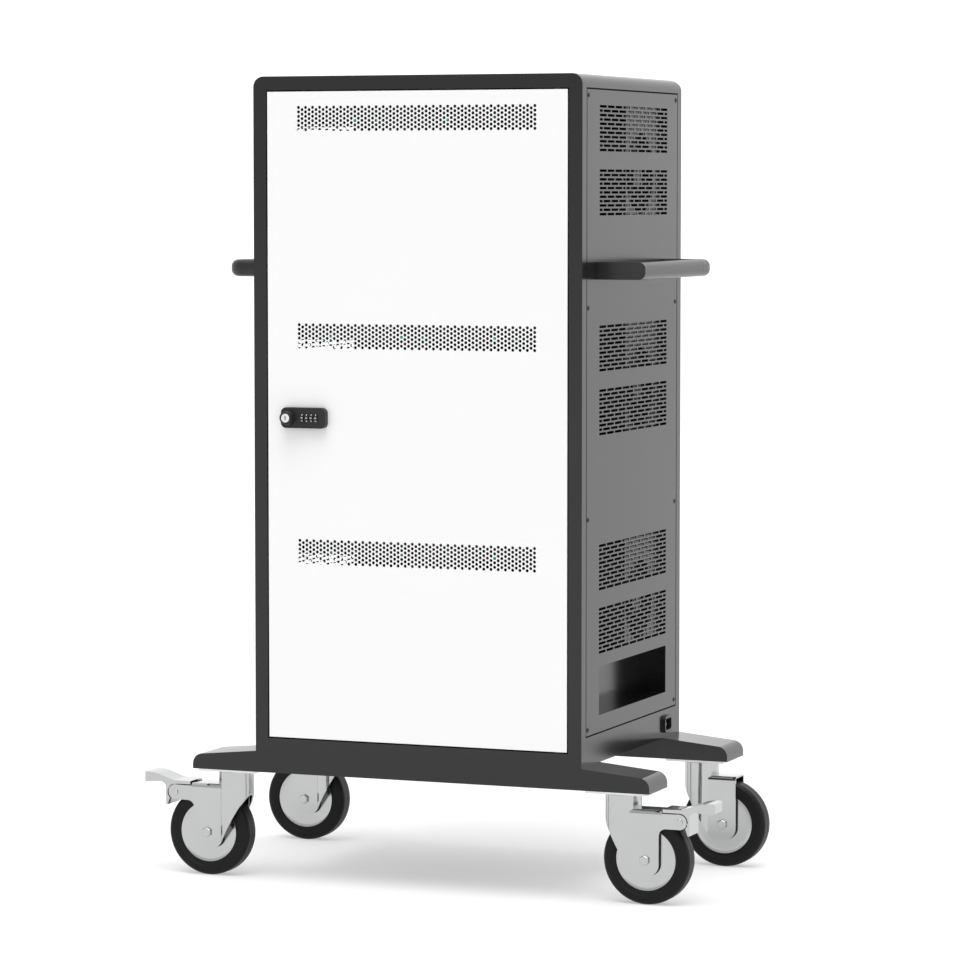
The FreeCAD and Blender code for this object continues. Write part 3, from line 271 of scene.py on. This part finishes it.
hub_half = [(hub_bore, hub_boss_face), (hub_boss, hub_boss_face), (hub_boss_foot, hub_face),
            (hub_radius - hub_rim_width, hub_face), (hub_radius, hub_rim_face)]
tyre_half = [(wheel_radius - parting_line, 0.0), (wheel_radius, parting_line)]
for turn in shoulder_turns:
    tyre_half.append((wheel_radius - shoulder * (1 - cos(radians(turn))),
                      tread_half - shoulder * (1 - sin(radians(turn)))))
tyre_half += [(bead_top, tread_half), (bead_top - bead_slope, tread_half - bead_dip),
              (bead_foot + bead_slope, tread_half - bead_dip), (bead_foot, tread_half - bead_dip / 2),
              (hub_radius, hub_rim_face + tyre_lip)]
for caster in casters:
    low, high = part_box(caster + "_hub")
    centre = (low + high) / 2
    hub = spun_wheel_part(both_sides(hub_half), centre, hub_steps)
    soften(hub, hub_easing)
    add_piece_for(caster + "_hub", "_disc", hub, bright_steel)
    tyre = spun_wheel_part(both_sides(tyre_half), centre, tyre_steps)
    add_piece_for(caster + "_tyre", "_rubber", tyre, tyre_black)

# Body shell: floor pan, rear panel, two side frames, roof cap and front frame, all folded from
# sheet steel, spot welded and powder coated in the same anthracite as the beams. On the flanges behind the
# side panels the coat turns near-black and rough, as painted shade in the gaps round the panels.
flange_setback = 0.0015
flange_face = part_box("right_side_frame")[1].x - flange_setback
gap_shade_reach = 0.0006
gap_shade_black = (0.0015, 0.0015, 0.0015)
gap_shade_rough = 0.95
front_frame_easing = 0.0005
roof_easing = 0.0003
frame_coat = finish_from("frame_coat_and_painted_gap_shade", coat_grain, **anthracite_look)
frame_tree = frame_coat.node_tree
frame_surface = frame_tree.nodes["Principled BSDF"]
# On the flange plane behind the panel faces the coat turns near-black and rough: painted shade in the panel
# gaps.
frame_place = frame_tree.nodes.new("ShaderNodeTexCoord")
frame_axes = frame_tree.nodes.new("ShaderNodeSeparateXYZ")
frame_side = frame_tree.nodes.new("ShaderNodeMath")
frame_side.operation = "ABSOLUTE"
on_flange = frame_tree.nodes.new("ShaderNodeMath")
on_flange.operation = "COMPARE"
on_flange.inputs[1].default_value = flange_face
on_flange.inputs[2].default_value = gap_shade_reach
frame_tree.links.new(frame_place.outputs["Object"], frame_axes.inputs["Vector"])
frame_tree.links.new(frame_axes.outputs["X"], frame_side.inputs[0])
frame_tree.links.new(frame_side.outputs["Value"], on_flange.inputs[0])
for socket, kind, gap_shade_value in (("Base Color", "RGBA", (*gap_shade_black, 1.0)),
                                  ("Roughness", "FLOAT", gap_shade_rough)):
    blend = frame_tree.nodes.new("ShaderNodeMix")
    blend.data_type = kind
    blend.inputs["B"].default_value = gap_shade_value
    frame_tree.links.new(on_flange.outputs["Value"], blend.inputs["Factor"])
    frame_tree.links.new(frame_surface.inputs[socket].links[0].from_socket, blend.inputs["A"])
    frame_tree.links.new(blend.outputs["Result"], frame_surface.inputs[socket])
for side_frame in ("left_side_frame", "right_side_frame"):
    dress(side_frame, frame_coat)
for sheet in ("floor_pan", "rear_panel"):
    dress(sheet, anthracite)
ease("front_frame", front_frame_easing, anthracite)
ease("roof", roof_easing, anthracite)

# Side panels: flat sheets with punched slots, held by black steel pan-head screws. Each screw has a
# rounded head with a cross recess, and its shank goes through the panel into the frame's flange.
screw_head_radius = 0.0034
screw_head_height = 0.0010
screw_head_wall = 0.00045
screw_crown_radius = 0.0026
screw_shank_radius = 0.0019
screw_shank_length = 0.0030
recess_reach = 0.0017
recess_half_width = 0.0004
recess_depth = 0.0006
screw_black = finish_from("screw_black_oxide", zinc_grain, light=(0.012, 0.012, 0.0125),
                          dark=(0.007, 0.007, 0.0075), smooth=0.34, rough=0.46, Specular_IOR_Level=0.4)
for panel in ("left_side_panel", "right_side_panel"):
    dress(panel, anthracite)


def separate_boxes(node):
    """Corners of the box of each separate solid in a node."""
    bm = node_bmesh(node)
    waiting = set(bm.verts)
    boxes = []
    while waiting:
        group = [waiting.pop()]
        for vert in group:
            for edge in vert.link_edges:
                other = edge.other_vert(vert)
                if other in waiting:
                    waiting.remove(other)
                    group.append(other)
        boxes.append((Vector([min(vert.co[i] for vert in group) for i in range(3)]),
                      Vector([max(vert.co[i] for vert in group) for i in range(3)])))
    bm.free()
    return boxes


def add_ring(bm, radius, height):
    """Twelve points round a circle, each lined up with a corner of the cross recess."""
    return [bm.verts.new((radius * cos(radians(turn)), radius * sin(radians(turn)), height))
            for quarter in range(0, 360, 90) for turn in (quarter - 15, quarter + 15, quarter + 45)]


def add_loop(bm, verts):
    """Closed row of edges through points."""
    return [bm.edges.new((verts[i - 1], verts[i])) for i in range(len(verts))]


def add_cross_screw(bm, place):
    """Pan-head screw with a cross recess, drawn upright about the seat of its head and put in its place."""
    cross = []
    for quarter in range(4):
        turn = Matrix.Rotation(quarter * pi / 2, 3, "Z")
        for corner in ((recess_reach, -recess_half_width), (recess_reach, recess_half_width),
                       (recess_half_width, recess_half_width)):
            cross.append(turn @ Vector((*corner, 0.0)))
    recess_floor = Vector((0, 0, screw_head_height - recess_depth))
    recess_mouth = Vector((0, 0, screw_head_height))
    rings = [[bm.verts.new(corner + recess_floor) for corner in cross],
             [bm.verts.new(corner + recess_mouth) for corner in cross],
             add_ring(bm, screw_crown_radius, screw_head_height),
             add_ring(bm, screw_head_radius, screw_head_wall),
             add_ring(bm, screw_head_radius, 0.0),
             add_ring(bm, screw_shank_radius, 0.0),
             add_ring(bm, screw_shank_radius, -screw_shank_length)]
    loops = [add_loop(bm, ring) for ring in rings]
    for first, second in zip(loops, loops[1:]):
        bmesh.ops.bridge_loops(bm, edges=first + second)
    bm.faces.new(rings[0])
    bm.faces.new(rings[-1])
    bmesh.ops.transform(bm, matrix=place, verts=[vert for ring in rings for vert in ring])


screws = bmesh.new()
panel_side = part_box("right_side_panel")[1].x
for low, high in separate_boxes("panel_screws"):
    middle = (low + high) / 2
    if high.x > panel_side:
        seat = Vector((high.x - screw_head_height, middle.y, middle.z))
        outward = Vector((1, 0, 0))
    elif low.x < -panel_side:
        seat = Vector((low.x + screw_head_height, middle.y, middle.z))
        outward = Vector((-1, 0, 0))
    else:
        seat = Vector((middle.x, high.y - screw_head_height, middle.z))
        outward = Vector((0, 1, 0))
    facing = outward.to_track_quat("Z", "Y").to_matrix().to_4x4()
    add_cross_screw(screws, Matrix.Translation(seat) @ facing)
bmesh.ops.recalc_face_normals(screws, faces=screws.faces[:])
add_piece_for("panel_screws", "_crossed", screws, screw_black)

# Cord niche: a pocket folded from sheet steel, coated glossy near-black as painted shade inside the
# pocket. It sits behind the window in the right side panel and closes the window off from the charging
# levels.
# Near-black base colour: painted shade inside the pocket behind the window.
niche_shade_black = finish_from("niche_painted_shade_coat", coat_grain, light=(0.0050, 0.0050, 0.0052),
                          dark=(0.0038, 0.0038, 0.0040), smooth=0.16, rough=0.21, Specular_IOR_Level=0.4)
dress("cord_niche", niche_shade_black)

# Power inlet: a black moulded appliance inlet, pressed into the right side. Three nickel plated contact
# pins stand in its mouth, which is chamfered at its two lower corners.
inlet_easing = 0.0005
contact_easing = 0.0003
moulding_grain = grain_group("moulding_grain", fine_scale=900.0, broad_scale=18.0, depth=0.00003)
inlet_black = finish_from("inlet_black_plastic", moulding_grain, light=(0.012, 0.012, 0.0125),
                          dark=(0.009, 0.009, 0.0095), smooth=0.26, rough=0.34)
nickel = finish_from("nickel_contact", zinc_grain, light=(0.80, 0.79, 0.77), dark=(0.72, 0.71, 0.69),
                     smooth=0.18, rough=0.28, Metallic=1.0)
ease("power_inlet", inlet_easing, inlet_black)
ease("power_inlet_pins", contact_easing, nickel)

# Side handles: an extruded grip between a flat-ended arm and a bent elbow, in a satin coat of the body's
# colour, bolted through the panels from inside. The arm's joint is filled flush and the elbow's is open.
handle_easing = 0.0004
joint_reach = 1e-5
satin_anthracite = finish_from("satin_anthracite_coat", coat_grain, light=(0.0185, 0.0187, 0.0192),
                               dark=(0.0160, 0.0162, 0.0167), smooth=0.26, rough=0.33,
                               Specular_IOR_Level=0.4)
grip_low, grip_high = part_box("handle_grips")
flush_joints = (grip_low.y, grip_high.y)


def off_flush_joint(edge):
    """Edges that don't lie in the joint between a grip and its arm."""
    return not any(all(abs(vert.co.y - joint) < joint_reach for vert in edge.verts) for joint in flush_joints)


ease("handle_grips", handle_easing, satin_anthracite, where=off_flush_joint)
ease("handle_ends", handle_easing, satin_anthracite, where=off_flush_joint)
dress("handle_bolts", zinc_plate)

# Charging levels: shelves and dividers of coated sheet, with moulded charging modules under the
# shelves and a supply box on the floor pan. A plate for the level's fan is welded under each shelf.
shelf_easing = 0.0003
module_easing = 0.0012
supply_easing = 0.0010
shelf_coat = finish_from("shelf_dark_coat", coat_grain, light=(0.024, 0.0243, 0.025),
                         dark=(0.019, 0.0193, 0.020), smooth=0.18, rough=0.24)
module_black = finish_from("module_black_plastic", moulding_grain, light=(0.012, 0.012, 0.0125),
                           dark=(0.008, 0.008, 0.0085), smooth=0.44, rough=0.55, Specular_IOR_Level=0.35)
ease("charging_shelves", shelf_easing, shelf_coat)
ease("dividers", shelf_easing, shelf_coat)
ease("charging_modules", module_easing, module_black)
ease("power_supply", supply_easing, module_black)

# Cooling fans: a moulded black housing pegged into each fan plate behind the right vents, with a
# seven-bladed moulded rotor on its shaft.
fan_easing = 0.0004
fan_black = finish_from("fan_black_plastic", moulding_grain, light=(0.016, 0.016, 0.0165),
                        dark=(0.012, 0.012, 0.0125), smooth=0.24, rough=0.32)
for fan_piece in ("fan_housings", "fan_rotor_1", "fan_rotor_2", "fan_rotor_3"):
    ease(fan_piece, fan_easing, fan_black)

# Charge lamps: small domed lenses of clear green plastic in the front of each module, one for each
# device slot, lit from behind.
lens_glow = (0.010, 0.30, 0.090)
lens_edge = (0.004, 0.14, 0.045)
lens_strength = 1.8
lens_length = 0.0020
lens_radius = 0.0018
lens_profile = [(lens_radius, 0.0), (lens_radius, 0.0010), (0.0014, 0.0016), (0.0007, 0.0019),
                (0.0, lens_length)]
lens_steps = 12
lens_crease = radians(50.0)
lamp_green = bpy.data.materials.new("lamp_green_lens")
lamp_green.use_nodes = True
lens_tree = lamp_green.node_tree
lens = lens_tree.nodes["Principled BSDF"]
lens_place = lens_tree.nodes.new("ShaderNodeTexCoord")
lens_haze = lens_tree.nodes.new("ShaderNodeTexNoise")
lens_haze.inputs["Scale"].default_value = 700.0
lens_tint = lens_tree.nodes.new("ShaderNodeMix")
lens_tint.data_type = "RGBA"
lens_tint.inputs["A"].default_value = (*lens_edge, 1.0)
lens_tint.inputs["B"].default_value = (*lens_glow, 1.0)
lens_tree.links.new(lens_place.outputs["Object"], lens_haze.inputs["Vector"])
lens_tree.links.new(lens_haze.outputs["Fac"], lens_tint.inputs["Factor"])
lens_tree.links.new(lens_tint.outputs["Result"], lens.inputs["Base Color"])
lens_tree.links.new(lens_tint.outputs["Result"], lens.inputs["Emission Color"])
lens.inputs["Emission Strength"].default_value = lens_strength
lens.inputs["Roughness"].default_value = 0.16
lamps = bmesh.new()
for low, high in separate_boxes("charge_lamps"):
    middle = (low + high) / 2
    seat = Vector((middle.x, high.y, middle.z))
    verts = [lamps.verts.new(seat + Vector((radius, -offset, 0))) for radius, offset in lens_profile]
    edges = [lamps.edges.new(pair) for pair in zip(verts, verts[1:])]
    bmesh.ops.spin(lamps, geom=verts + edges, cent=seat, axis=(0, 1, 0), angle=2 * pi, steps=lens_steps,
                   use_merge=True)
bmesh.ops.remove_doubles(lamps, verts=lamps.verts[:], dist=1e-6)
bmesh.ops.holes_fill(lamps, edges=lamps.edges[:], sides=16)
bmesh.ops.recalc_face_normals(lamps, faces=lamps.faces[:])
add_piece("charge_lamp_lenses", lamps, lamp_green, node_bodies["charge_lamps"], node_slots["charge_lamps"],
          "charge_lamps", crease=lens_crease)

# Door: a white coated skin with punched strips, on a folded frame that hangs on two hinge pivots.
# The pivots are steel pins in the frame's returns, with bushes in the gap, all in black as painted shade in
# the door gap.
door_frame_easing = 0.0003
strike_easing = 0.0004
door_white = finish_from("white_powder_coat", coat_grain, light=(0.91, 0.91, 0.91),
                         dark=(0.885, 0.885, 0.888), smooth=0.30, rough=0.38)
dress("door_skin", door_white)
ease("door_frame", door_frame_easing, anthracite)
# Black pins and bushes: painted shade in the gap at the door's hinge side.
dress("hinge_pivots", screw_black)
ease("strike_plate", strike_easing, anthracite)

# Combination lock: a black moulded body with a rounded face edge, a turning knob with a nickel key plug
# and a zinc plated cam behind the door.
lock_easing = 0.0009
knob_easing = 0.0008
plug_easing = 0.0003
cam_easing = 0.0004
dial_field_half_height = 0.0085
shaft_clear_radius = 0.0075
lock_black = finish_from("lock_black_plastic", moulding_grain, light=(0.018, 0.018, 0.0185),
                         dark=(0.015, 0.015, 0.0155), smooth=0.42, rough=0.50, Specular_IOR_Level=0.3)
lock_low, lock_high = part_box("lock_body")
lock_middle = (lock_low + lock_high) / 2
knob_low, knob_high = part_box("lock_knob")
knob_middle = (knob_low + knob_high) / 2
dial_field_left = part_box("dial_1")[0].x - lock_easing
dial_field_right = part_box("dial_4")[1].x + lock_easing


def on_face_outline(edge):
    """Edges round the outside of the lock's front face, away from the dials and the knob's shaft."""
    for vert in edge.verts:
        on_face = abs(vert.co.y - lock_low.y) < 1e-5
        across_dials = dial_field_left < vert.co.x < dial_field_right
        beside_dials = across_dials and abs(vert.co.z - lock_middle.z) < dial_field_half_height
        round_shaft = (vert.co.xz - knob_middle.xz).length < shaft_clear_radius
        if not on_face or beside_dials or round_shaft:
            return False
    return True


ease("lock_body", lock_easing, lock_black, where=on_face_outline)
ease("lock_knob", knob_easing, lock_black)
ease("key_plug", plug_easing, nickel)
ease("lock_cam", cam_easing, zinc_plate)

# Number dials: four black moulded wheels on a common steel axle, each with the digits 0 to 9 in raised
# white figures round its edge and a low finger rib between every two of them.
dials = ("dial_1", "dial_2", "dial_3", "dial_4")
dial_digits = 10
dial_easing = 0.0003
digit_height = 0.0032
digit_stretch = 2.1
digit_proud = 0.00005
digit_root = 0.00030
rib_height = 0.00020
rib_width = 0.0007
rib_inset = 0.0004
ink_white = finish_from("dial_ink_white", moulding_grain, light=(0.90, 0.90, 0.90), dark=(0.82, 0.82, 0.82),
                        smooth=0.40, rough=0.50)
dress("dial_axle", zinc_plate)


def digit_mesh(digit):
    """Outline of a digit as a thin solid, lying flat and centred."""
    curve = bpy.data.curves.new("digit_outline", "FONT")
    curve.body = str(digit)
    curve.size = digit_height
    curve.align_x = "CENTER"
    curve.align_y = "CENTER"
    curve.resolution_u = 2
    curve.extrude = (digit_proud + digit_root) / 2
    holder = bpy.data.objects.new("digit_outline", curve)
    bpy.context.scene.collection.objects.link(holder)
    bpy.context.view_layer.update()
    mesh = bpy.data.meshes.new_from_object(holder)
    bpy.data.objects.remove(holder)
    bpy.data.curves.remove(curve)
    return mesh


def on_dial(centre, step, height):
    """Place on a dial's edge, a number of digits on from the one that faces the front."""
    turn = Matrix.Rotation(pi / 2 - 2 * pi * step / dial_digits, 4, "X")
    return Matrix.Translation(centre) @ turn @ Matrix.Translation((0, 0, height))


digit_meshes = [digit_mesh(digit) for digit in range(dial_digits)]
for dial in dials:
    low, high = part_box(dial)
    centre = (low + high) / 2
    dial_radius = (high.z - low.z) / 2
    digit_level = dial_radius + (digit_proud - digit_root) / 2
    stretch = Matrix.Diagonal((digit_stretch, 1.0, 1.0, 1.0))
    rib_size = Matrix.Diagonal((high.x - low.x - 2 * rib_inset, rib_width, 2 * rib_height, 1.0))
    wheel = node_bmesh(dial)
    soften(wheel, dial_easing)
    figures = bmesh.new()
    for digit, mesh in enumerate(digit_meshes):
        first = len(figures.verts)
        figures.from_mesh(mesh)
        figures.verts.ensure_lookup_table()
        bmesh.ops.transform(figures, matrix=on_dial(centre, digit, digit_level) @ stretch,
                            verts=figures.verts[first:])
        bmesh.ops.create_cube(wheel, size=1.0, matrix=on_dial(centre, digit + 0.5, dial_radius) @ rib_size)
    add_piece_for(dial, "_wheel", wheel, lock_black)
    add_piece(dial + "_figures", figures, ink_white, node_bodies[dial], "door_paint")

# Studio: a plain pale floor of frosted sheet, softly lit from below as a light table, and a plain white
# surround that is a little brighter behind the right side. One wide soft source hangs high above the
# front, a little to the right.
floor_reach = 40.0
floor_grey = 0.32
floor_grey_seen = 0.50
floor_glow = 0.455
floor_glow_seen = 0.41
floor_bm = bmesh.new()
bmesh.ops.create_grid(floor_bm, x_segments=1, y_segments=1, size=floor_reach)
floor_mesh = bpy.data.meshes.new("studio_floor")
floor_bm.to_mesh(floor_mesh)
floor_bm.free()
floor = bpy.data.objects.new("studio_floor", floor_mesh)
bpy.context.scene.collection.objects.link(floor)
floor_white = bpy.data.materials.new("studio_floor_white")
floor_white.use_nodes = True
floor_tree = floor_white.node_tree
floor_surface = floor_tree.nodes["Principled BSDF"]
floor_surface.inputs["Emission Color"].default_value = (1.0, 1.0, 1.0, 1.0)
floor_surface.inputs["Roughness"].default_value = 1.0
floor_surface.inputs["Specular IOR Level"].default_value = 0.0
floor_path = floor_tree.nodes.new("ShaderNodeLightPath")
seen = floor_path.outputs["Is Camera Ray"]
for ray in ("Is Glossy Ray", "Is Transmission Ray"):
    either = floor_tree.nodes.new("ShaderNodeMath")
    either.operation = "MAXIMUM"
    floor_tree.links.new(seen, either.inputs[0])
    floor_tree.links.new(floor_path.outputs[ray], either.inputs[1])
    seen = either.outputs["Value"]
for socket, level_unseen, level_seen in (("Base Color", floor_grey, floor_grey_seen),
                                         ("Emission Strength", floor_glow, floor_glow_seen)):
    floor_level = floor_tree.nodes.new("ShaderNodeMix")
    floor_level.inputs["A"].default_value = level_unseen
    floor_level.inputs["B"].default_value = level_seen
    floor_tree.links.new(seen, floor_level.inputs["Factor"])
    floor_tree.links.new(floor_level.outputs["Result"], floor_surface.inputs[socket])
floor_mesh.materials.append(floor_white)

surround_level = 1.04
surround_swing = 0.34
brighter_side = (0.35, 0.94, 0.0)
world = bpy.data.worlds.new("studio_surround")
bpy.context.scene.world = world
world.use_nodes = True
surround = world.node_tree
sky = surround.nodes["Background"]
sky.inputs["Color"].default_value = (1.0, 1.0, 1.0, 1.0)
direction = surround.nodes.new("ShaderNodeTexCoord")
towards = surround.nodes.new("ShaderNodeVectorMath")
towards.operation = "DOT_PRODUCT"
towards.inputs[1].default_value = brighter_side
level = surround.nodes.new("ShaderNodeMath")
level.operation = "MULTIPLY_ADD"
level.inputs[1].default_value = surround_swing
level.inputs[2].default_value = surround_level
surround.links.new(direction.outputs["Generated"], towards.inputs[0])
surround.links.new(towards.outputs["Value"], level.inputs[0])
surround.links.new(level.outputs["Value"], sky.inputs["Strength"])

ceiling_strength = 0.64 * pi
ceiling_spread = radians(44.0)
ceiling_tilt = (radians(16.0), radians(4.0), 0.0)
ceiling_light = bpy.data.lights.new("ceiling_source", "SUN")
ceiling_light.energy = ceiling_strength
ceiling_light.angle = ceiling_spread
ceiling = bpy.data.objects.new("ceiling_source", ceiling_light)
ceiling.rotation_euler = ceiling_tilt
bpy.context.scene.collection.objects.link(ceiling)

# Camera: a long lens well back from the cabinet, to the right of the door and at the height of the top
# level, looking slightly down.
photo_width = 960.0
focal_pixels = 4044.0
camera_place = (2.145, -5.348, 0.9769)
camera_down = radians(4.11)
camera_turn = radians(21.69)
camera_data = bpy.data.cameras.new("photo_camera")
camera_data.sensor_width = 36.0
camera_data.lens = camera_data.sensor_width * focal_pixels / photo_width
camera_data.clip_end = 200.0
camera = bpy.data.objects.new("photo_camera", camera_data)
camera.location = camera_place
camera.rotation_euler = (pi / 2 - camera_down, 0.0, camera_turn)
bpy.context.scene.collection.objects.link(camera)
bpy.context.scene.camera = camera
bpy.context.scene.view_settings.view_transform = "Standard"
